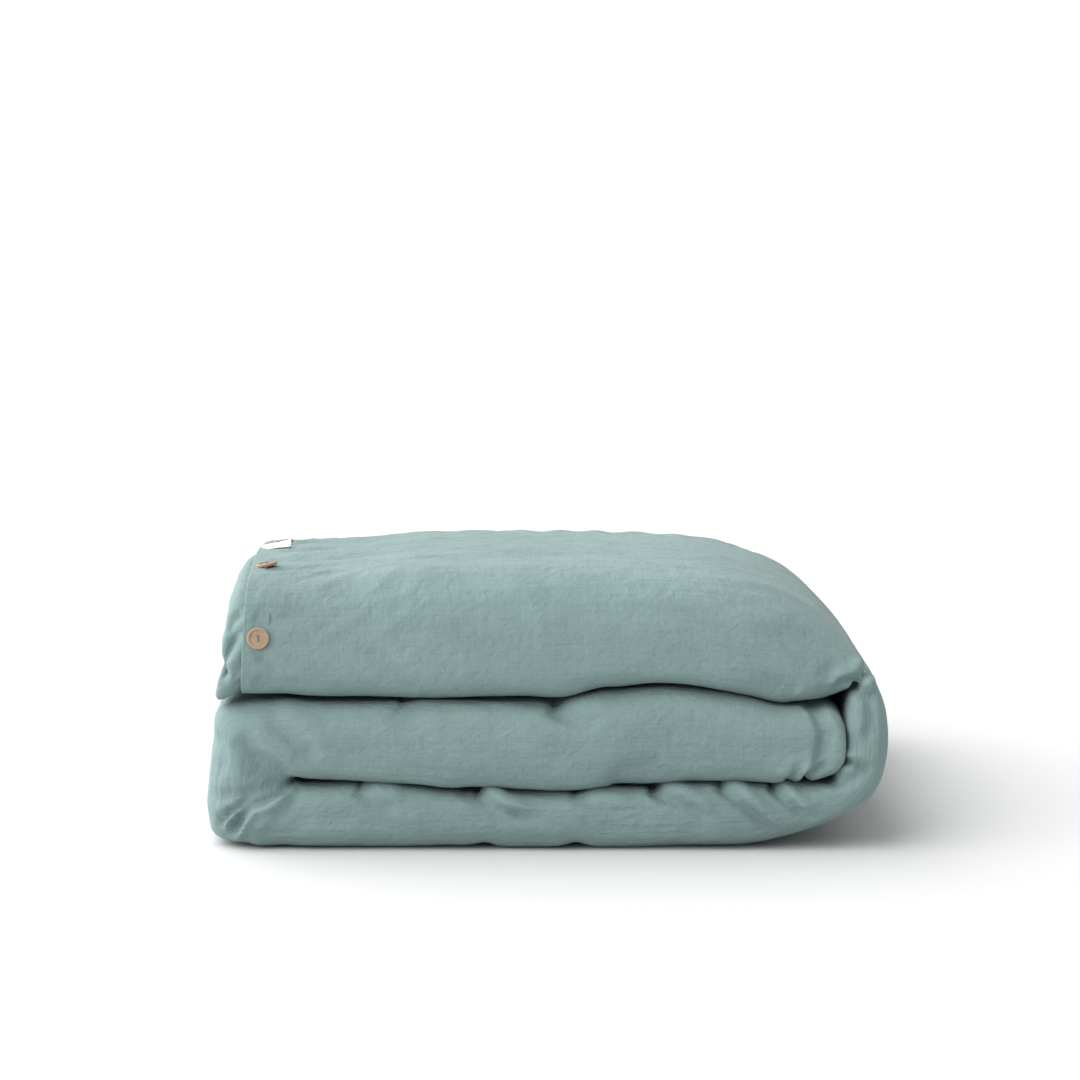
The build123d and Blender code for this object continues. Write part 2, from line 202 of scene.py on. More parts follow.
def strip(rows, where, ring, back=BACK):
    """A tube's points, columns by ring, from its stations.

    Each column runs between an outer and an inner line in the front view. Along y it goes from the
    back to the front fold, which is a superellipse."""
    at = spline(rows, where)
    outer, inner = at[:, None, :2], at[:, None, 2:4]
    set_back, depth, crown_share, corner_share, lean = (c[:, None] for c in at[:, 4:9].T)
    side, place, lobe, arc = ring.T
    fold_y = FRONT + set_back + depth
    back_y = back - BACK_LOBE
    y = back_y + (fold_y - back_y) * place - depth * arc
    y = y + lean * (side + 1) / 2 * place + BACK_LOBE * np.where(place == 0, 1 - lobe, 0)
    xz = (outer + inner) / 2 + (outer - inner) / 2 * side[None, :, None]
    points = np.stack([xz[..., 0], y, xz[..., 1]], axis=-1)
    upper = (side + 1) / 2
    points[..., 2] -= crown_share * upper * CROWN_FALL * (y - CROWN_CENTRE) ** 2
    points[..., 2] -= corner_share * upper * CORNER_FALL * np.maximum(y - CORNER_START, 0) ** 2
    points[..., 0] -= corner_share * END_SKEW * smooth(FRONT, FRONT + 300, y)
    behind = smooth(FRONT + 20, FRONT + 95, y)
    points[..., 2] += corner_share * (1 - upper) * UNDERSIDE_LIFT * behind
    return points


def normals_of(points):
    """Unit normals of a tube's points, pointing out of it."""
    along = np.gradient(points, axis=0)
    around = np.roll(points, -1, axis=1) - np.roll(points, 1, axis=1)
    normal = np.cross(along, around)
    return normal / np.maximum(np.linalg.norm(normal, axis=-1, keepdims=True), 1e-9)


def noise(u, v, seed):
    """Smooth gradient noise from about -1 to 1 on a plane, the same for the same seed."""
    iu, iv = np.floor(u).astype(np.int64), np.floor(v).astype(np.int64)
    fu, fv = u - iu, v - iv
    blend_u = fu * fu * fu * (fu * (fu * 6 - 15) + 10)
    blend_v = fv * fv * fv * (fv * (fv * 6 - 15) + 10)

    def slope(a, b):
        mixed = (iu + a) * 374761393 + (iv + b) * 668265263 + seed * 2246822519
        mixed = ((mixed ^ (mixed >> 13)) * 1274126177) & 0xFFFFFFFF
        angle = ((mixed ^ (mixed >> 16)) % 65536) * (2 * math.pi / 65536)
        return np.cos(angle) * (fu - a) + np.sin(angle) * (fv - b)

    low = slope(0, 0) * (1 - blend_u) + slope(1, 0) * blend_u
    high = slope(0, 1) * (1 - blend_u) + slope(1, 1) * blend_u
    return 1.5 * (low * (1 - blend_v) + high * blend_v)


def between(where, stations, ease=0.5):
    """1 on the columns between two stations, fading over a little beyond them."""
    first, last = stations
    return (smooth(first - ease, first + ease, where) * (1 - smooth(last - ease, last + ease, where)))[
        :, None
    ]


def fold(points, where, route, width, depth, swell=0.4, stations=(-1, 40), axes=(0, 2), reach=70.0,
         fade=(0.25, 0.25)):
    """How far a fold pulls the cloth in or out along its normal.

    The fold follows a route in the front view, or in another view given by its axes. It is a groove
    that is a bell across the route, with a lower swelling beside it on the route's left, and it fades
    towards the route's two ends."""
    a, b = points[..., axes[0]], points[..., axes[1]]
    nearest, signed, along = np.full(a.shape, 1e9), np.zeros(a.shape), np.zeros(a.shape)
    route = np.asarray(route, float)
    lengths = np.hypot(*np.diff(route, axis=0).T)
    before = np.concatenate([[0], np.cumsum(lengths)])
    for number, ((ax, az), (bx, bz)) in enumerate(zip(route, route[1:])):
        dx, dz = (bx - ax) / lengths[number], (bz - az) / lengths[number]
        t = np.clip((a - ax) * dx + (b - az) * dz, 0, lengths[number])
        off_a, off_b = a - ax - t * dx, b - az - t * dz
        distance = np.hypot(off_a, off_b)
        closer = distance < nearest
        nearest = np.where(closer, distance, nearest)
        signed = np.where(closer, np.sign(dx * off_b - dz * off_a) * distance, signed)
        along = np.where(closer, (before[number] + t) / before[-1], along)
    strength = smooth(-0.02, fade[0], along) * (1 - smooth(1 - fade[1], 1.02, along))
    profile = -depth * hill(nearest, 0, width) + swell * depth * hill(signed, 1.8 * width, 1.3 * width)
    if axes == (0, 2):
        strength = strength * (1 - smooth(FRONT + reach * 0.5, FRONT + reach, points[..., 1]))
    return profile * strength * between(where, stations)


def mesh_piece(name, points, girth=None, travel=None, normals=None, caps=(False, False), round_trip=False):
    """A mesh from a tube's points in millimetres, columns by ring, with its cloth laid out flat in a UV
    map in metres. A round trip joins the last column to the first."""
    columns, around = points.shape[:2]
    step = np.linalg.norm(np.diff(points, axis=1, append=points[:, :1]), axis=-1).mean(axis=0)
    girth = np.concatenate([[0], np.cumsum(step)]) if girth is None else girth
    if travel is None:
        walk = np.linalg.norm(np.diff(points, axis=0), axis=-1).mean(axis=1)
        travel = np.concatenate([[0], np.cumsum(walk)])
    index = np.arange(columns * around).reshape(columns, around)
    if round_trip:
        index = np.vstack([index, index[:1]])
        travel = np.append(travel, travel[-1] + 1)
    following = np.roll(index, -1, axis=1)
    quads = np.stack([index[:-1], index[1:], following[1:], following[:-1]], axis=-1).reshape(-1, 4)
    faces = quads.tolist()
    row, column = np.divmod(np.arange(len(quads)), around)
    flat = np.stack(
        [
            np.stack([travel[row + a], girth[column + b]], axis=-1)
            for a, b in ((0, 0), (1, 0), (1, 1), (0, 1))
        ],
        axis=1,
    ).reshape(-1, 2)
    ring = np.stack([points[0, :, 0], points[0, :, 1]], axis=-1)
    if caps[0]:
        faces.append(index[0].tolist())
        flat = np.vstack([flat, ring])
    if caps[1]:
        faces.append(index[-1][::-1].tolist())
        flat = np.vstack([flat, ring[::-1]])
    mesh = bpy.data.meshes.new(name)
    mesh.from_pydata(metres(points.reshape(-1, 3)), [], faces)
    layer = mesh.uv_layers.new(name="cloth")
    layer.data.foreach_set("uv", metres(flat).astype(np.float32).ravel())
    mesh.shade_smooth()
    mesh.update()
    if normals is not None:
        mesh.normals_split_custom_set_from_vertices(normals.reshape(-1, 3).astype(np.float32))
    piece = bpy.data.objects.new(name, mesh)
    bpy.context.collection.objects.link(piece)
    return piece


# ---------------------------------------------------------------- puffing the cloth
def doubled(values, axis, closed=False):
    """Twice as many samples along an axis: between two of them comes a four-point average."""
    values = np.moveaxis(values, axis, 0)
    if closed:
        before, after, beyond = np.roll(values, 1, 0), np.roll(values, -1, 0), np.roll(values, -2, 0)
        middle = (9 * (values + after) - before - beyond) / 16
        out = np.stack([values, middle], axis=1).reshape(-1, *values.shape[1:])
    else:
        padded = np.concatenate([2 * values[:1] - values[1:2], values, 2 * values[-1:] - values[-2:-1]])
        middle = (9 * (values[:-1] + values[1:]) - padded[:-3] - padded[3:]) / 16
        out = np.empty((2 * len(values) - 1, *values.shape[1:]))
        out[0::2], out[1::2] = values, middle
    return np.moveaxis(out, 0, axis)


SETTLING = 3  # times the cloth's moves are evened out over their neighbours


def puff(points, freedom, frames=14, pressure=1.6, growth=0.018):
    """The tube after a short cloth simulation that fills it with air and grows its cloth a little, so
    that it buckles. freedom is how far each point may move, in millimetres. It runs on every second
    column and ring point, and its moves are then spread over the rest."""
    coarse = points[::2, ::2]
    free = freedom[::2, ::2]
    piece = mesh_piece("puffing", coarse)
    held = piece.vertex_groups.new(name="held")
    stiff = 1 - np.clip(free / free.max(), 0, 1).ravel()
    for level in range(11):
        chosen = np.nonzero(np.round(stiff * 10) == level)[0].tolist()
        held.add(chosen, 0.25 + 0.075 * level, "REPLACE")
    cloth = piece.modifiers.new("cloth", "CLOTH")
    settings = cloth.settings
    settings.quality = 4
    settings.mass = 0.25
    settings.tension_stiffness = settings.compression_stiffness = 12
    settings.shear_stiffness = 4
    settings.bending_stiffness = 4.0
    settings.tension_damping = settings.compression_damping = 8
    settings.air_damping = 3
    settings.use_pressure = True
    settings.uniform_pressure_force = pressure
    settings.shrink_min = settings.shrink_max = -growth
    settings.vertex_group_mass = held.name
    settings.pin_stiffness = 0.6
    settings.effector_weights.gravity = 0
    cloth.collision_settings.use_collision = False
    scene = bpy.context.scene
    for number in range(1, frames + 1):
        scene.frame_set(number)
    evaluated = piece.evaluated_get(bpy.context.evaluated_depsgraph_get())
    moved = np.empty(len(evaluated.data.vertices) * 3, np.float32)
    evaluated.data.vertices.foreach_get("co", moved)
    step = moved.reshape(coarse.shape) / MM - coarse
    bpy.data.objects.remove(piece)
    scene.frame_set(1)
    for _ in range(SETTLING):
        around = (np.roll(step, 1, axis=1) + np.roll(step, -1, axis=1)) / 2
        ends = np.concatenate([step[:1], step, step[-1:]])
        step = 0.4 * step + 0.3 * around + 0.3 * (ends[:-2] + ends[2:]) / 2
    length = np.linalg.norm(step, axis=-1, keepdims=True)
    limit = free[..., None]
    step *= limit * np.tanh(length / np.maximum(limit, 1e-6)) / np.maximum(length, 1e-9)
    return points + doubled(doubled(step, 0), 1, closed=True)


# ---------------------------------------------------------------- camera, light and floor
CAMERA_AWAY = 2925.0
CAMERA_HEIGHT = 685.0
AIM_HEIGHT = 313.0
CAMERA_SIDE = -6.0
VIEW_GAMMA = 0.85
ROOM_LIGHT = 0.68  # what the pale room gives off, and below, how bright its backdrop looks
BACKDROP = 1.02
WINDOW_LIGHT = 4.9
WINDOW_WIDTH = 112  # degrees across, as soft as a large window close by
WINDOW_PLACE = (-3600, 200, 2300)
FLOOR_TONE = 0.69
FLOOR_REACH = 40000.0


def look_from(thing, place, target):
    """Puts a camera or light at a place and turns it to a target."""
    thing.location = metres(place)
    direction = Vector(metres(target)) - thing.location
    thing.rotation_mode = "QUATERNION"
    thing.rotation_quaternion = direction.to_track_quat("-Z", "Y")


def make_camera():
    data = bpy.data.cameras.new("camera")
    data.lens = 100
    data.sensor_width = 36
    camera = bpy.data.objects.new("camera", data)
    bpy.context.collection.objects.link(camera)
    look_from(camera, (CAMERA_SIDE, FRONT - CAMERA_AWAY, CAMERA_HEIGHT), (CAMERA_SIDE, FRONT, AIM_HEIGHT))
    bpy.context.scene.camera = camera


def make_room():
    """A pale room with a broad soft light from the left, and a plain pale floor."""
    scene = bpy.context.scene
    scene.view_settings.view_transform = "Standard"
    scene.view_settings.gamma = VIEW_GAMMA
    world = bpy.data.worlds.new("studio")
    world.use_nodes = True
    nodes = world.node_tree.nodes
    background = nodes["Background"]
    background.inputs["Color"].default_value = (1, 1, 1, 1)
    seen = nodes.new("ShaderNodeLightPath")
    strength = nodes.new("ShaderNodeMapRange")
    strength.inputs["To Min"].default_value = ROOM_LIGHT
    strength.inputs["To Max"].default_value = BACKDROP
    world.node_tree.links.new(seen.outputs["Is Camera Ray"], strength.inputs["Value"])
    world.node_tree.links.new(strength.outputs["Result"], background.inputs["Strength"])
    scene.world = world
    data = bpy.data.lights.new("window", "SUN")
    data.energy = WINDOW_LIGHT
    data.angle = math.radians(WINDOW_WIDTH)
    light = bpy.data.objects.new("window", data)
    bpy.context.collection.objects.link(light)
    look_from(light, WINDOW_PLACE, (0, 0, 0))
    mesh = bpy.data.meshes.new("floor")
    far = FLOOR_REACH
    corners = [(-far, -far, 0), (far, -far, 0), (far, far, 0), (-far, far, 0)]
    mesh.from_pydata(metres(corners), [], [(0, 1, 2, 3)])
    floor = bpy.data.objects.new("floor", mesh)
    bpy.context.collection.objects.link(floor)
    material = bpy.data.materials.new("pale_floor")
    material.use_nodes = True
    surface = material.node_tree.nodes["Principled BSDF"]
    surface.inputs["Base Color"].default_value = (FLOOR_TONE, FLOOR_TONE, FLOOR_TONE, 1)
    surface.inputs["Roughness"].default_value = 0.9
    mesh.materials.append(material)



# ---------------------------------------------------------------- materials
class Wire:
    """One output of a node, which works in Python sums and products like a number."""

    def __init__(self, finish, socket):
        self.finish = finish
        self.socket = socket

    def math(self, operation, *values):
        return self.finish.node("ShaderNodeMath", {"operation": operation}, dict(enumerate(values)))

    def __add__(self, other):
        return self.math("ADD", self, other)

    def __sub__(self, other):
        return self.math("SUBTRACT", self, other)

    def __rsub__(self, other):
        return self.math("SUBTRACT", other, self)

    def __mul__(self, other):
        return self.math("MULTIPLY", self, other)

    def __abs__(self):
        return self.math("ABSOLUTE", self)

    __radd__ = __add__
    __rmul__ = __mul__


class Finish:
    """A material under construction."""

    def __init__(self, name, roughness=0.9, sheen=0.0, coat=0.0):
        self.material = bpy.data.materials.new(name)
        self.material.use_nodes = True
        self.tree = self.material.node_tree
        self.surface = self.tree.nodes["Principled BSDF"]
        self.surface.inputs["Roughness"].default_value = roughness
        self.surface.inputs["Sheen Weight"].default_value = sheen
        self.surface.inputs["Sheen Roughness"].default_value = 0.6
        self.surface.inputs["Coat Weight"].default_value = coat
        self.surface.inputs["Specular IOR Level"].default_value = 0.3

    def node(self, kind, settings=None, inputs=None, output=0):
        """A node with its settings, and then the values or links of its sockets."""
        made = self.tree.nodes.new(kind)
        for key, value in (settings or {}).items():
            setattr(made, key, value)
        for key, value in (inputs or {}).items():
            if isinstance(value, Wire):
                self.tree.links.new(value.socket, made.inputs[key])
            else:
                made.inputs[key].default_value = value
        return Wire(self, made.outputs[output])

    def cloth(self):
        """Where a point is on its flat cloth, in metres."""
        return self.node("ShaderNodeUVMap", {"uv_map": "cloth"})

    def solid(self):
        """Where a point is on the object, in metres."""
        return self.node("ShaderNodeTexCoord", {}, {}, "Object")

    def stretched(self, vector, factors):
        return self.node("ShaderNodeVectorMath", {"operation": "MULTIPLY"}, {0: vector, 1: factors})

    def grain(self, vector, factors, detail=2.0, roughness=0.5):
        """Noise from 0 to 1, stretched by a factor for each axis."""
        inputs = {"Vector": self.stretched(vector, factors), "Scale": 1.0, "Detail": detail}
        return self.node("ShaderNodeTexNoise", {}, inputs | {"Roughness": roughness})

    def ramp(self, value, low, high):
        inputs = {"Value": value, "From Min": low, "From Max": high}
        return self.node("ShaderNodeMapRange", {"interpolation_type": "SMOOTHSTEP"}, inputs)

    def mix(self, factor, first, second):
        settings = {"data_type": "RGBA"}
        return self.node("ShaderNodeMix", settings, {0: factor, 6: (*first, 1) if isinstance(first, tuple)
                         else first, 7: (*second, 1) if isinstance(second, tuple) else second}, 2)

    def done(self, colour, height=None, roughness=None):
        """Joins the colour, the height of the surface in metres and the roughness to the shader."""
        self.tree.links.new(colour.socket, self.surface.inputs["Base Color"])
        if height is not None:
            bump = self.node("ShaderNodeBump", {}, {"Strength": 1.0, "Distance": 1.0, "Height": height},
                             "Normal")
            self.tree.links.new(bump.socket, self.surface.inputs["Normal"])
        if roughness is not None:
            self.tree.links.new(roughness.socket, self.surface.inputs["Roughness"])
        return self.material


LINEN = (0.232, 0.325, 0.318)


def tinted(colour, factor, shift=(0, 0, 0)):
    return tuple(min(1.0, c * factor + s) for c, s in zip(colour, shift))


def linen(name, base=LINEN, crinkle=0.0009, weave=0.00012):
    """Washed linen: a plain weave of uneven yarns with thick slubs both ways, a cloudy dye and the soft
    crinkle of cloth that was dried without ironing."""
    finish = Finish(name, roughness=0.88, sheen=0.12)
    flat = finish.cloth()
    along = finish.grain(flat, (14, 620, 1), 2.0)
    across = finish.grain(flat, (620, 14, 1), 2.0)
    threads = finish.grain(flat, (1500, 1500, 1), 1.0)
    slub = finish.ramp(along, 0.6, 0.78) + finish.ramp(across, 0.6, 0.78)
    cloud = finish.grain(flat, (7, 11, 1), 3.0, 0.6)
    patch = finish.grain(flat, (30, 46, 1), 3.0, 0.6)
    tone = 0.5 + (cloud - 0.5) * 0.9 + (patch - 0.5) * 0.7 + (along - 0.5) * 0.5 + (across - 0.5) * 0.4
    tone = tone + (threads - 0.5) * 0.35 + slub * 0.06
    dark = tinted(base, 0.84, (0.0, 0.002, 0.008))
    light = tinted(base, 1.15, (0.006, 0.0, -0.006))
    colour = finish.mix(tone, dark, light)
    fine = finish.grain(flat, (55, 75, 1), 4.0, 0.55)
    long_lines = finish.grain(flat, (9, 150, 1), 3.0, 0.5)
    ridges = 1 - abs(fine - 0.5) * 4
    height = ridges * crinkle + long_lines * crinkle * 1.3
    height = height + (along + across) * weave + threads * weave + slub * weave
    return finish.done(colour, height)


def ticking(name):
    """Closely woven white cotton with a faint rib."""
    finish = Finish(name, roughness=0.8, sheen=0.08)
    flat = finish.cloth()
    weave = finish.grain(flat, (1800, 900, 1), 1.0)
    cloud = finish.grain(flat, (12, 12, 1), 3.0)
    puckers = finish.grain(flat, (40, 40, 1), 3.0)
    colour = finish.mix(cloud * 0.6 + weave * 0.4, (0.74, 0.73, 0.7), (0.86, 0.855, 0.83))
    return finish.done(colour, weave * 0.00006 + puckers * 0.0012)


def wadding(name):
    """Hollow polyester fibre: a tangle of fine white strands."""
    finish = Finish(name, roughness=0.95, sheen=0.3)
    flat = finish.cloth()
    strands = finish.grain(flat, (160, 420, 1), 6.0, 0.7)
    tufts = finish.grain(flat, (28, 28, 1), 4.0, 0.6)
    colour = finish.mix(tufts * 0.6 + strands * 0.4, (0.78, 0.78, 0.78), (0.93, 0.93, 0.93))
    return finish.done(colour, tufts * 0.004 + strands * 0.0012)


def seamed(name, base=LINEN, pitch=0.0032):
    """A sewn linen edge, with a row of small stitches pulled into it."""
    finish = Finish(name, roughness=0.86, sheen=0.1)
    flat = finish.cloth()
    threads = finish.grain(flat, (700, 1100, 1), 2.0)
    cloud = finish.grain(flat, (12, 12, 1), 3.0)
    stitches = finish.node("ShaderNodeTexWave", {"wave_type": "BANDS", "bands_direction": "X"},
                           {"Vector": finish.stretched(flat, (1 / pitch, 0, 0)), "Scale": 0.31831,
                            "Distortion": 0.0}, "Fac")
    colour = finish.mix(cloud * 0.6 + threads * 0.4, tinted(base, 0.8), tinted(base, 1.12))
    return finish.done(colour, threads * 0.00015 + stitches * 0.00025)


def tape(name, dark, light, rib=1600.0):
    """Narrow woven tape with a fine rib across it."""
    finish = Finish(name, roughness=0.75, sheen=0.05)
    where_on = finish.solid()
    ribs = finish.grain(where_on, (rib, 260, 260), 1.5)
    cloud = finish.grain(where_on, (90, 90, 90), 3.0)
    colour = finish.mix(ribs * 0.5 + cloud * 0.5, dark, light)
    return finish.done(colour, ribs * 0.00008)


def shell(name):
    """Polished coconut shell: warm tan with short darker fibres, and a little gloss."""
    finish = Finish(name, roughness=0.45, coat=0.12)
    where_on = finish.solid()
    fibres = finish.grain(where_on, (2600, 900, 420), 3.0, 0.65)
    cloud = finish.grain(where_on, (170, 170, 210), 3.0, 0.6)
    flecks = finish.ramp(fibres, 0.55, 0.75)
    warm = finish.mix(cloud, (0.33, 0.235, 0.165), (0.52, 0.40, 0.30))
    colour = finish.mix(flecks * 0.7, warm, (0.2, 0.13, 0.085))
    return finish.done(colour, fibres * 0.00006, 0.38 + cloud * 0.2)


def thread(name):
    finish = Finish(name, roughness=0.6, sheen=0.05)
    where_on = finish.solid()
    twist = finish.grain(where_on, (2400, 2400, 5200), 1.0)
    colour = finish.mix(twist, tinted(LINEN, 0.55), tinted(LINEN, 0.95))
    return finish.done(colour, twist * 0.0001)


# ---------------------------------------------------------------- building
ON_LOWER = ("lower_thirds",)
OVER_WRAP = ("lower_thirds", "right_wrap", (262, 0, 15), (330, 0, 100))
OVER_TOP = ("right_wrap", "top_third", (325, 0, 150), (245, 0, 255))
ON_TOP = ("top_third",)
THIRDS = (("lower", ON_LOWER), ("wrap", OVER_WRAP), ("top", OVER_TOP))


def fit(piece, place, material, nodes):
    """Gives a piece its material and hides its CAD nodes. A piece with one body is attached to it; a piece
    that lies across a pair of bodies only has its placement baked in.
    """
    piece.data.materials.append(material)
    if len(place) == 1:
        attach(piece, place[0])
    else:
        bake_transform(piece)
    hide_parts(*nodes)
    return piece


def cut_columns(where):
    """The columns where the lower, the wrap's and the top's pieces begin."""
    return [0, int(np.searchsorted(where, LAST_LOWER)), int(np.searchsorted(where, MID_WRAP))]


def girth_of(points):
    """How far round the tube each ring point lies, on average, and the whole way round."""
    step = np.linalg.norm(points - np.roll(points, 1, axis=1), axis=-1).mean(axis=0)
    step[0] = 0
    last = np.linalg.norm(points[:, 0] - points[:, -1], axis=-1).mean()
    return np.append(np.cumsum(step), np.cumsum(step)[-1] + last)


def travel_of(points):
    """How far along the strip each column lies, on average."""
    walk = np.linalg.norm(np.diff(points, axis=0), axis=-1).mean(axis=1)
    return np.concatenate([[0], np.cumsum(walk)])


def build_cover():
    """The tube of the cover: its shape, its puff, its folds and its wrinkles."""
    ring = cover_ring()
    where = columns_along(STATIONS, COLUMN_STEP)
    points = strip(STATIONS, where, ring)
    side, place = ring[:, 0], ring[:, 1]
    near_front = smooth(0.1, 0.75, place)
    upper_side = smooth(0.2, 0.9, side)
    on_top = smooth(24, 28, where)[:, None]
    on_wrap = between(where, WRAP, 1.0)
    held_hem = 1 - 0.85 * smooth(33.5, 35, where)[:, None]
    freedom = 0.3 + 2.8 * near_front[None] * (1 - on_top) * (1 - 0.5 * on_wrap)
    billow = np.maximum(near_front * 0.2, upper_side * (1 - 0.7 * near_front))[None]
    freedom = (freedom + on_top * 4 * billow) * held_hem
    points = puff(points, freedom)
    points = points + normals_of(points) * folds_on(points, where)[..., None]
    points[..., 2] += crease_waves(points)
    wrinkles = wrinkles_on(points, where, ring)
    return where, points + normals_of(points) * wrinkles[..., None]


def crease_waves(points):
    """The lines between the rolls wander up and down a little along the front."""
    x, y, z = points[..., 0], points[..., 1], points[..., 2]
    front = 1 - smooth(FRONT + 60, FRONT + 160, y)
    upper = 7 * hill(x, 125, 60) - 4 * hill(x, 235, 28) + 3 * hill(x, 55, 18) - 3 * hill(x, 15, 22)
    lower = -6 * hill(x, 5, 60) + 3 * hill(x, 165, 50) - 3 * hill(x, -98, 22) + 2 * hill(x, -200, 40)
    ground = 4 * hill(x, -61, 12) + 5 * hill(x, 30, 12)
    lift = ground * hill(z, 0, 9) * (1 - smooth(FRONT + 20, FRONT + 60, y))
    return lift + front * (upper * hill(z, 150, 24) + lower * hill(z, 65, 22))


DEEPEST = 8.0  # no fold goes deeper than this into the filling
LEFT = (8.0, 15.5)
BOTTOM = (14.0, 21.5)
CLOSED_END = (0.0, 5.0)
TOP = (26.0, 36.5)
EVEN, DRAG, ABOVE = (0.25, 0.25), (0.06, 0.4), (0.15, 0.5)

# Each fold is its route, how wide and how deep its groove is, the share of that depth that swells up
# beside it, the stations it lies between and over what shares of its length its two ends fade. First
# come the folds seen from the front, by x and z: the pinches where the left fold is squeezed, the drags
# on the bottom roll, the tucks at the right-hand end, the middle third's and the top's.
FRONT_FOLDS = (
    (((-250, 66), (-264, 59), (-280, 50), (-294, 46), (-304, 34), (-313, 18), (-319, 8)),
     4.0, 16, 0.6, LEFT, (0.24, 0.2)),
    (((-262, 62), (-284, 50), (-304, 32), (-317, 10)), 12.0, 6, 0.4, LEFT, (0.3, 0.2)),
    (((-292, 56), (-304, 46), (-316, 38), (-325, 28), (-328, 18)), 3.6, 11, 0.7, LEFT, EVEN),
    (((-258, 66), (-282, 60), (-308, 55), (-340, 50)), 6.0, 6, 0.5, LEFT, EVEN),
    (((-254, 76), (-264, 80), (-280, 90), (-296, 98)), 7.0, 6, -0.6, (6.5, 12), (0.3, 0.5)),
    (((-282, 140), (-262, 124), (-236, 104), (-222, 92)), 9.0, 6, 0.5, (5, 10), EVEN),
    (((-306, 118), (-288, 96), (-262, 80), (-250, 74)), 10.0, 5, 0.6, (6, 12), EVEN),
    (((-330, 118), (-322, 92), (-326, 70)), 9.0, 4, 0.5, (8, 13), EVEN),
    (((-334, 20), (-316, 12), (-290, 9)), 6.0, 4, 0.4, (12, 16), EVEN),
    (((-240, 62), (-262, 40), (-276, 20), (-284, 6)), 9.0, 5, -0.5, (11, 16.5), EVEN),
    (((-72, 64), (-60, 54), (-42, 44), (-6, 33)), 4.6, 11, 0.8, BOTTOM, DRAG),
    (((-86, 66), (-70, 54), (-46, 36), (-30, 24)), 6.0, 5, 0.8, BOTTOM, DRAG),
    (((102, 63), (122, 53), (150, 40), (168, 28)), 5.0, 10, 0.8, BOTTOM, DRAG),
    (((170, 63), (196, 46), (222, 26), (242, 12)), 5.0, 10, 0.8, BOTTOM, DRAG),
    (((222, 66), (238, 52), (252, 40), (270, 30)), 4.6, 9, 0.8, BOTTOM, DRAG),
    (((24, 62), (48, 48), (86, 38)), 7.0, 5, 0.8, BOTTOM, DRAG),
    (((-190, 62), (-172, 50), (-140, 40)), 7.0, 5, 0.8, BOTTOM, DRAG),
    (((262, 76), (290, 68), (312, 76), (324, 94)), 6.0, 8, 0.5, (19, 23), (0.1, 0.6)),
    (((292, 90), (308, 88), (326, 80)), 4.0, 8, 0.5, (20, 24), EVEN),
    (((318, 108), (324, 134), (320, 160)), 6.0, 5, 0.5, (20, 25), EVEN),
    (((306, 164), (316, 157), (332, 158)), 5.0, 9, 0.5, (22, 26.5), EVEN),
    (((286, 154), (296, 166), (312, 171), (328, 184)), 5.0, 9, 0.5, (24, 27.5), EVEN),
    (((254, 150), (267, 141), (275, 120), (271, 96), (262, 78)), 3.6, 11, -0.5, CLOSED_END, EVEN),
    (((256, 66), (262, 76), (272, 84), (286, 88)), 4.0, 12, 0.5, CLOSED_END, (0.05, 0.5)),
    (((238, 66), (250, 76), (256, 92)), 6.0, 6, 0.5, CLOSED_END, (0.05, 0.6)),
    (((4, 149), (16, 140), (36, 131), (66, 126)), 7.5, 9, 0.5, (2, 8), (0.06, 0.6)),
    (((-150, 146), (-130, 132), (-104, 124)), 12.0, 4, 0.4, (4, 9), (0.1, 0.6)),
    (((60, 66), (88, 80), (130, 86)), 14.0, 4, 0.4, (2, 8), (0.1, 0.6)),
    (((-286, 196), (-268, 186), (-236, 182)), 6.0, 4, 0.5, TOP, (0.1, 0.7)),
    (((-292, 236), (-262, 232), (-214, 244)), 9.0, 4, 0.5, TOP, (0.1, 0.6)),
    (((-290, 174), (-262, 166), (-226, 168)), 8.0, 4, 0.4, TOP, (0.1, 0.7)),
    (((-216, 240), (-170, 262), (-120, 272)), 22.0, 4, -0.6, TOP, (0.4, 0.4)),
    (((252, 160), (236, 168), (200, 170)), 9.0, 5, 0.4, TOP, (0.1, 0.7)),
    (((276, 150), (284, 168), (280, 190)), 9.0, 4, 0.4, (25, 29), EVEN),
)
# The pulls beside the buttons, seen from above, by x and y.
TOP_CREASES = (
    (((-290, -200), (-240, -190), (-170, -196)), 9, 4, 0.5, TOP, ABOVE),
    (((-292, -120), (-230, -128), (-150, -118)), 10, 4, 0.5, TOP, ABOVE),
    (((-292, -60), (-240, -44), (-180, -50), (-110, -40)), 9, 3.5, 0.5, TOP, ABOVE),
    (((-292, 30), (-230, 44), (-130, 30)), 12, 4, 0.5, TOP, ABOVE),
    (((-290, -240), (-250, -226), (-200, -232)), 7, 3, 0.5, TOP, ABOVE),
    (((-290, 120), (-220, 100), (-150, 120)), 14, 5, 0.5, TOP, ABOVE),
)


def folds_on(points, where):
    """How far all the folds together pull each point of the cloth in or out, up to DEEPEST."""

    def added(table, axes):
        return sum(
            fold(points, where, route, width, depth, swell, stations, axes, fade=fade)
            for route, width, depth, swell, stations, fade in table
        )

    upper = smooth(190, 230, points[..., 2])
    total = added(FRONT_FOLDS, (0, 2)) + added(TOP_CREASES, (0, 1)) * upper
    return DEEPEST * np.tanh(total * 0.85 / DEEPEST)


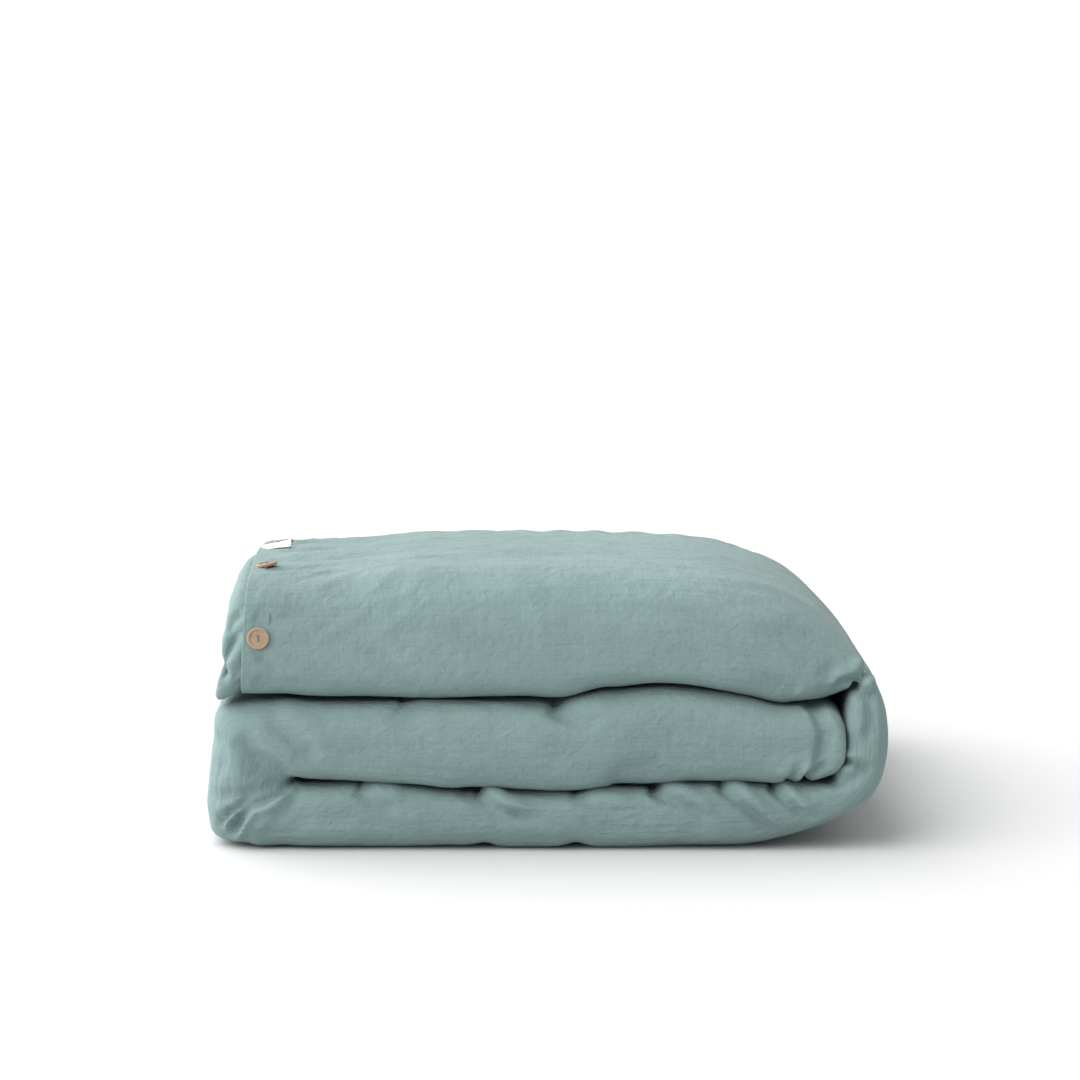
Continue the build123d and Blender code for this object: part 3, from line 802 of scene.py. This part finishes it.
def wrinkles_on(points, where, ring):
    """Soft wrinkles: broad lumps of the filling, long pressed lines and a fine crinkle."""
    walk = travel_of(points)[:, None]
    girth = girth_of(points)[None, :-1]
    side, place = ring[:, 0][None], ring[:, 1][None]
    front = smooth(0.3, 0.9, place)
    top = smooth(26, 28, where)[:, None] * smooth(-0.2, 0.5, side)
    bend = 30 * noise(walk / 160, girth / 160, 5)
    lumps = 1.6 * noise(walk / 95, (girth + bend) / 60, 11)
    drags = noise((walk + bend) / 60, girth / 24, 23)
    crinkle = noise((walk + 0.6 * girth) / 17, (girth - 0.3 * walk) / 12, 31)
    right_end = between(where, (27, 31.5), 2.5)
    long_lines = noise((walk + bend) / 120, (girth + 0.3 * bend) / 17, 41)
    pressed = 1 - np.abs(noise((walk + bend) / 70, (girth + bend) / 22, 53)) * 2
    left_end = smooth(31, 34.5, where)[:, None]
    calm = 1 - 0.8 * smooth(35.0, 35.6, where)[:, None]
    total = lumps * (0.4 + 0.6 * front) + 0.7 * drags * (0.5 + 0.5 * front) + 0.28 * crinkle
    total = total + top * (right_end * 2.2 * long_lines + 0.5 * pressed + left_end * 1.1 * pressed)
    return total * calm


def pieces_of_cover(where, points, materials):
    """The face panel, cut into its three pieces. Behind the hem the top one turns in as a lining."""
    normals = normals_of(points)
    girth, travel = girth_of(points), travel_of(points)
    cuts = cut_columns(where)
    hem = points[-1]
    inward = normals[-1] * 2.6
    steps = np.array([1.5, 6.0, 14.0, 24.0])[:, None, None]
    lining = hem - inward + np.concatenate([steps, 0 * steps, 0 * steps], axis=-1)
    lining_normals = np.repeat(-normals[-1:], 4, axis=0)
    names = ("cover_lower", "cover_bottom", "cover_top")
    for number, (third, place) in enumerate(THIRDS):
        first = cuts[number]
        last = cuts[number + 1] + 1 if number < 2 else len(points)
        part, part_normals, part_travel = points[first:last], normals[first:last], travel[first:last]
        if number == 2:
            part = np.concatenate([part, lining])
            part_normals = np.concatenate([part_normals, lining_normals])
            part_travel = np.append(part_travel, travel[-1] + np.array([3, 8, 16, 26]))
        ends = (number == 0, number == 2)
        piece = mesh_piece(names[number], part, girth, part_travel, part_normals, ends)
        fit(piece, place, materials["linen"], (f"face_panel_{third}",))


def hem_sleeve(points, material):
    """The buttonhole hem: a doubled band of linen round the last of the cover, with a rolled edge."""
    normals = normals_of(points)
    travel = travel_of(points)
    first = int(np.searchsorted(travel, travel[-1] - 50))
    band, out = points[first:], normals[first:]
    rise = 0.2 + 0.7 * smooth(0.2, 1, np.linspace(0, 1, len(band)))
    rise[:2] = (-0.9, -0.3)
    outer = band + out * rise[:, None, None]
    lip_shape = ((0.6, 1.1, 0.7), (-0.1, 1.7, 0.1), (-0.9, 1.7, -0.2), (-1.6, 1.0, -0.7))
    lip = np.stack([band[-1] + out[-1] * h - np.array([s, 0, 0]) for h, s, _ in lip_shape])
    lip_out = np.stack([out[-1] * share - np.array([1 - abs(share), 0, 0]) for _, _, share in lip_shape])
    inner = (band - out * 2.1)[::-1]
    sleeve = np.concatenate([outer, lip, inner])
    facing = np.concatenate([out, lip_out, -out[::-1]])
    facing /= np.linalg.norm(facing, axis=-1, keepdims=True)
    walk = np.concatenate([travel[first:], travel[-1] + np.array([1, 2, 3, 4]), travel[-1] + 6 + travel[-1]
                           - travel[first:][::-1]])
    piece = mesh_piece("buttonhole_hem", sleeve, girth_of(points), walk, facing, round_trip=True)
    return fit(piece, ON_TOP, material, ("buttonhole_band",))


UNDERLAP = (
    (-272, 254, -276, 162, 4, 50, 0, 0.9, 16),
    (-290, 255, -293, 160, 4, 50, 0, 0.95, 16),
    (-300, 256, -305, 157, 4, 50, 0, 1, 16),
    (-309, 255, -316, 150, 4, 50, 0, 1, 16),
    (-315, 249, -324, 146, 6, 48, 0, 1, 15),
    (-318, 238, -329, 147, 11, 44, 0, 1, 14),
    (-318, 223, -329, 157, 20, 36, 0, 1, 12),
    (-314, 212, -323, 170, 30, 28, 0, 1, 10),
)


def underlap(material):
    """The reverse panel's button band, which shows past the hem as a soft, folded-in end."""
    ring = cover_ring()
    where = columns_along(UNDERLAP, 2.4)
    points = strip(UNDERLAP, where, ring, back=BACK - 6)
    points += normals_of(points) * (
        fold(points, where, [(-302, 224), (-312, 206), (-322, 188), (-319, 168)], 5, 7, 0.5, fade=(0.2, 0.2))
        + fold(points, where, [(-300, 240), (-310, 230), (-318, 214)], 5, 4, 0.5)
        + fold(points, where, [(-304, 176), (-314, 180), (-324, 176)], 5, 4, 0.5)
        + 1.4 * noise(points[..., 1] / 34, points[..., 2] / 20, 61)
        + 0.6 * noise(points[..., 1] / 12, points[..., 2] / 10, 67)
    )[..., None]
    piece = mesh_piece("button_underlap", points, caps=(True, True))
    return fit(piece, ON_TOP, material, ("button_band",))


INSIDE = {  # how much of the cover's thickness it fills, half the slit, first and last station
    "insert": (0.77, 0.1, 0.9, 35.2, "cotton_ticking", "insert_ticking", 0.6),
    "filling": (0.64, 0.2, 1.2, 35.0, "hollow_fibre", "insert_filling", 0.6),
    "reverse": (0.05, 0.0, 0.6, 35.6, "linen_reverse", "reverse_panel", 0.0),
}
SLIT_REACH = 0.96


def inside_ring(points, where, filled, slit):
    """A layer that is halved lengthwise inside the cover. Each of its points lies on the line between a
    point of the cover and the one that faces it, so it follows every fold. With a slit, the layer goes
    round the front fold and back on both sides of the slit between its halves."""
    ring = cover_ring()
    points = points[:, LOBE_POINTS:-LOBE_POINTS:2]
    place, arc = ring[LOBE_POINTS:-LOBE_POINTS:2, 1], ring[LOBE_POINTS:-LOBE_POINTS:2, 3]
    facing = points[:, ::-1]
    middle = (points + facing) / 2
    depth = spline(STATIONS, where)[:, 5, None]
    outer = middle + (points - middle) * filled
    outer[..., 1] += (1 - filled) * depth * arc
    flat = np.nonzero((arc == 0) & (place <= SLIT_REACH))[0]
    upper = flat[flat < points.shape[1] // 2]
    if not slit:
        return np.concatenate([outer[:, upper], (2 * middle - outer)[:, upper][:, ::-1]], axis=1)
    lower = points.shape[1] - 1 - upper
    inner = middle + (points - middle) * slit
    return np.concatenate([outer, inner[:, lower], inner[:, upper[::-1]]], axis=1)


def inside_pieces(where, cover, materials):
    """The duvet's ticking and filling, halved round the reverse panel, inside the same strip."""
    for word, (filled, slit, start, end, slot, node, fill) in INSIDE.items():
        cuts = np.searchsorted(where, (start, LAST_LOWER, MID_WRAP, end))
        for number, (third, place) in enumerate(THIRDS):
            columns = np.arange(cuts[number], cuts[number + 1] + 2, 3)
            points = inside_ring(cover[columns], where[columns], filled, slit)
            piece = mesh_piece(f"{word}_{third}", points, caps=(True, True))
            fit(piece, place, materials[slot], (f"{node}_{third}",))


def welt(name, path, out, width, thickness, place, material, nodes):
    """A sewn edge: a rounded flat ribbon along a path that stands out from the cloth."""
    tangent = np.gradient(path, axis=0)
    tangent /= np.linalg.norm(tangent, axis=1, keepdims=True)
    across = np.cross(tangent, out)
    across /= np.linalg.norm(across, axis=1, keepdims=True)
    turn = np.linspace(0, 2 * math.pi, 15)[:-1]
    flat_out = np.sign(np.cos(turn)) * np.abs(np.cos(turn)) ** 0.6 * width / 2
    flat_across = np.sign(np.sin(turn)) * np.abs(np.sin(turn)) ** 0.8 * thickness / 2
    points = (
        path[:, None]
        + out[:, None] * (flat_out[None, :, None] + width / 2 - 1.5)
        + across[:, None] * flat_across[None, :, None]
    )
    if np.einsum("ij,ij->i", normals_of(points)[:, 0], out).mean() < 0:
        points = points[:, ::-1]
    piece = mesh_piece(name, points, caps=(True, True))
    return fit(piece, place, material, nodes)


def seams(where, points, material):
    """The side seams down the backs of both halves, and the seam across the closed end."""
    normals = normals_of(points)
    count = points.shape[1]
    apex = {"outer": (LOBE_POINTS - 1) // 2, "inner": count - 1 - (LOBE_POINTS - 1) // 2}
    cuts = cut_columns(where) + [len(where) - 1]
    for half, index in apex.items():
        for number, (third, place) in enumerate(THIRDS):
            chosen = slice(cuts[number], cuts[number + 1] + 1)
            out = normals[chosen, index] * 0.15 + np.array([0, 1.0, 0])
            out /= np.linalg.norm(out, axis=1, keepdims=True)
            name = f"side_seam_{half}_{third}"
            welt(f"sewn_{name}", points[chosen, index], out, 6.5, 2.4, place, material, (name,))
    low, high = millimetres("closed_end_seam")
    y = np.linspace(low[1] + 8, high[1] - 14, 160)
    edge = points[0].mean(axis=0)
    path = np.stack([0 * y + edge[0] - 1.0, y, edge[2] + 1.5 * noise(y / 40, 0 * y, 83)], axis=1)
    out = np.repeat([[1.0, 0.0, 0.0]], len(y), axis=0)
    welt("sewn_closed_end", path, out, 6.0, 2.4, ON_LOWER, material, ("closed_end_seam",))


def shell_of(name, upper, thickness):
    """A thin closed piece from a grid of its upper side's points."""
    down = np.cross(np.gradient(upper, axis=0), np.gradient(upper, axis=1))
    down /= np.linalg.norm(down, axis=-1, keepdims=True)
    down *= -np.sign(down[..., 2:3].mean())
    lower = upper + down * thickness
    rows, columns = upper.shape[:2]
    ring = np.concatenate([upper, lower[:, ::-1]], axis=1)
    if normals_of(ring)[rows // 2, columns // 2, 2] < 0:
        ring = ring[:, ::-1]
    return mesh_piece(name, ring, caps=(True, True))


def woven_label(material, cover):
    """The blank woven label, sewn by its end to the hem, with a soft curl in it."""
    low, high = millimetres("woven_label")
    along, across = np.meshgrid(np.linspace(0, 1, 33), np.linspace(-1, 1, 21), indexing="ij")
    tilt = np.array([-(high[2] - low[2] - 0.6), 0.0, high[0] - low[0]])
    tilt /= np.linalg.norm(tilt)
    start = np.array([low[0], (low[1] + high[1]) / 2, low[2]])
    near_end = stand_off(cover, start + (6, 0, 1.2), tilt)
    far_end = stand_off(cover, start + (20, 0, 3.4), tilt)
    x = low[0] - 5 + (high[0] - low[0]) * along
    y = (low[1] + high[1]) / 2 + 10 * across * (1 + 0.02 * np.sin(9 * along))
    rise = (high[2] - low[2] - 0.6) * along
    curl = 5.0 * smooth(-0.2, 1.2, across) * (0.5 + 0.5 * along)
    z = low[2] + 0.5 + rise - near_end - (far_end - near_end) * along + curl + 0.7 * along**2
    z += 0.35 * np.sin(7 * along + 2 * across) * along
    piece = shell_of("blank_label", np.stack([x, y, z], axis=-1), 0.6)
    piece.data.materials.append(material)
    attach(piece, "label")
    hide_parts("woven_label")


TIE_INSET = 9.0  # the ties draw in from the seams


def corner_ties(material):
    """Knotted cotton tapes that hold the duvet's corners, each through its cord loop."""
    for number in (1, 2, 3, 4):
        low, high = millimetres(f"cover_tie_{number}")
        centre = (low + high) / 2
        centre[1] -= TIE_INSET * np.sign(centre[1])
        t = np.linspace(-1, 1, 49)
        half = (high[0] - low[0]) / 2
        path = np.stack([centre[0] + half * t, centre[1] + 0.9 * np.sin(5 * t) * t, centre[2]
                         + 1.2 * t**2 * np.sign(t)], axis=1)
        turn = np.linspace(0, 2 * math.pi, 17)[:-1]
        knot = hill(t, 0, 0.15)
        wide = 1.5 + 1.0 * knot
        thick = 0.4 + 2.1 * knot
        points = path[:, None] + np.stack(
            [0 * turn + 0 * t[:, None], thick[:, None] * np.cos(turn), wide[:, None] * np.sin(turn)], axis=-1
        )
        if (normals_of(points)[:, 0] * (points[:, 0] - path)).sum() < 0:
            points = points[:, ::-1]
        piece = mesh_piece(f"corner_tie_{number}", points, caps=(True, True))
        place = ON_LOWER if number < 3 else ON_TOP
        fit(piece, place, material, (f"cover_tie_{number}",))


HEM_RISE = 0.9  # the hem's own cloth, on top of the cover's
NEAR_HEM = 24  # columns of the cover next to the hem


def stand_off(cover, centre, out):
    """How far a point stands off the cover under it, along a direction out of the cover."""
    beside = cover[-NEAR_HEM:].reshape(-1, 3) - centre
    height = beside @ out
    aside = np.linalg.norm(beside - height[:, None] * out, axis=1)
    near = hill(aside, 0, 5.0) * (normals_of(cover)[-NEAR_HEM:].reshape(-1, 3) @ out > 0.4)
    return -(near * height).sum() / near.sum() - HEM_RISE


def button_places():
    """Each button's number, its joint's place in millimetres and the axis that it turns on."""
    for joint in frame["joints"]:
        if joint["name"].startswith("button_"):
            number = int(joint["name"].split("_")[1])
            yield number, np.array(joint["pos_m"]) / MM, np.array(joint["axis"], float)


def worked_buttonholes(material, drops):
    """An oval of close thread stitches round each buttonhole, along the hem under its button."""
    rings = []
    for number, centre, out in button_places():
        centre = centre - out * drops[number]
        across = np.array([1.0, 0, 0]) - out * out[0]
        across /= np.linalg.norm(across)
        along = np.cross(out, across)
        turn = np.linspace(0, 2 * math.pi, 73)[:-1]
        long_way = np.sign(np.sin(turn)) * np.abs(np.sin(turn)) ** 0.75 * 13.4
        short_way = np.sign(np.cos(turn)) * np.abs(np.cos(turn)) ** 0.75 * 1.9
        sag = 0.012 * long_way**2 if number == 1 else 0 * turn
        path = centre + long_way[:, None] * along + short_way[:, None] * across
        path = path - out * sag[:, None]
        away = path - path.mean(axis=0)
        away /= np.linalg.norm(away, axis=1, keepdims=True)
        bead = np.linspace(0, 2 * math.pi, 9)[:-1]
        pulse = 0.75 + 0.14 * np.cos(np.arange(72) * math.pi)
        rings.append(
            path[:, None]
            + away[:, None] * (1.3 * pulse[:, None, None] * np.cos(bead)[None, :, None])
            + out * (0.55 * pulse[:, None, None] * np.sin(bead)[None, :, None] + 0.1)
        )
    faces, verts = [], []
    for points in rings:
        if (points[20, 2] - points[20].mean(axis=0)) @ normals_of(points)[20, 2] < 0:
            points = points[:, ::-1]
        index = np.arange(points.shape[0] * points.shape[1]).reshape(points.shape[:2]) + len(verts)
        rolled = np.roll(index, -1, axis=0)
        quads = np.stack([index, rolled, np.roll(rolled, -1, 1), np.roll(index, -1, 1)], axis=-1)
        faces += quads.reshape(-1, 4).tolist()
        verts += metres(points.reshape(-1, 3)).tolist()
    mesh = bpy.data.meshes.new("worked_buttonholes")
    mesh.from_pydata(verts, [], faces)
    mesh.shade_smooth()
    mesh.materials.append(material)
    piece = bpy.data.objects.new("worked_buttonholes", mesh)
    bpy.context.collection.objects.link(piece)
    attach(piece, "top_third")


def lowered(node, body, drop, material):
    """A copy of a CAD button or thread that stands for it, moved along its own axis to where the soft
    hem lies. It is not where the CAD has it: it is up to 12 mm away."""
    source = frame["nodes"][node]
    mesh = source.data.copy()
    joint = next(j for j in frame["joints"] if j["child"] == body)
    mesh.vertices.foreach_get("co", co := np.empty(len(mesh.vertices) * 3, np.float32))
    shift = np.array(joint["axis"]) * drop * MM
    mesh.vertices.foreach_set("co", (co.reshape(-1, 3) - shift).ravel().astype(np.float32))
    mesh.materials.clear()
    mesh.materials.append(material)
    piece = bpy.data.objects.new(f"soft_{node}", mesh)
    bpy.context.collection.objects.link(piece)
    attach(piece, body)
    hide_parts(node)


def drawn_in(node, place, material):
    """A copy of a corner's CAD cord loop that stands for it, moved in from the seam beside its tie."""
    mesh = frame["nodes"][node].data.copy()
    for vertex in mesh.vertices:
        vertex.co.y -= math.copysign(TIE_INSET * MM, vertex.co.y)
    mesh.materials.clear()
    piece = bpy.data.objects.new(f"soft_{node}", mesh)
    bpy.context.collection.objects.link(piece)
    fit(piece, place, material, (node,))


make_camera()
make_room()
materials = {
    "linen": linen("washed_linen"),
    "linen_reverse": linen("reverse_linen", tinted(LINEN, 1.02), 0.0007),
    "linen_seam": seamed("seam_linen"),
    "cotton_ticking": ticking("white_ticking"),
    "hollow_fibre": wadding("fibre_wadding"),
    "cotton_tape": tape("corner_tape", (0.7, 0.69, 0.66), (0.84, 0.83, 0.8)),
    "label_weave": tape("label_satin", (0.78, 0.8, 0.79), (0.9, 0.92, 0.91), 900.0),
    "coconut_shell": shell("button_shell"),
    "sewing_thread": thread("twisted_thread"),
}
where, cover = build_cover()
pieces_of_cover(where, cover, materials)
hem_sleeve(cover, materials["linen"])
underlap(materials["linen_reverse"])
inside_pieces(where, cover, materials)
seams(where, cover, materials["linen_seam"])
woven_label(materials["label_weave"], cover)
corner_ties(materials["cotton_tape"])
drops = {number: stand_off(cover, place, out) for number, place, out in button_places()}
worked_buttonholes(materials["sewing_thread"], drops)
for number, drop in drops.items():
    for node, slot in ((f"button_{number}", "coconut_shell"), (f"thread_{number}", "sewing_thread")):
        lowered(node, f"sewn_button_{number}", drop, materials[slot])
for number in (1, 2, 3, 4):
    place = ON_LOWER if number < 3 else ON_TOP
    drawn_in(f"insert_loop_{number}", place, materials["cotton_tape"])
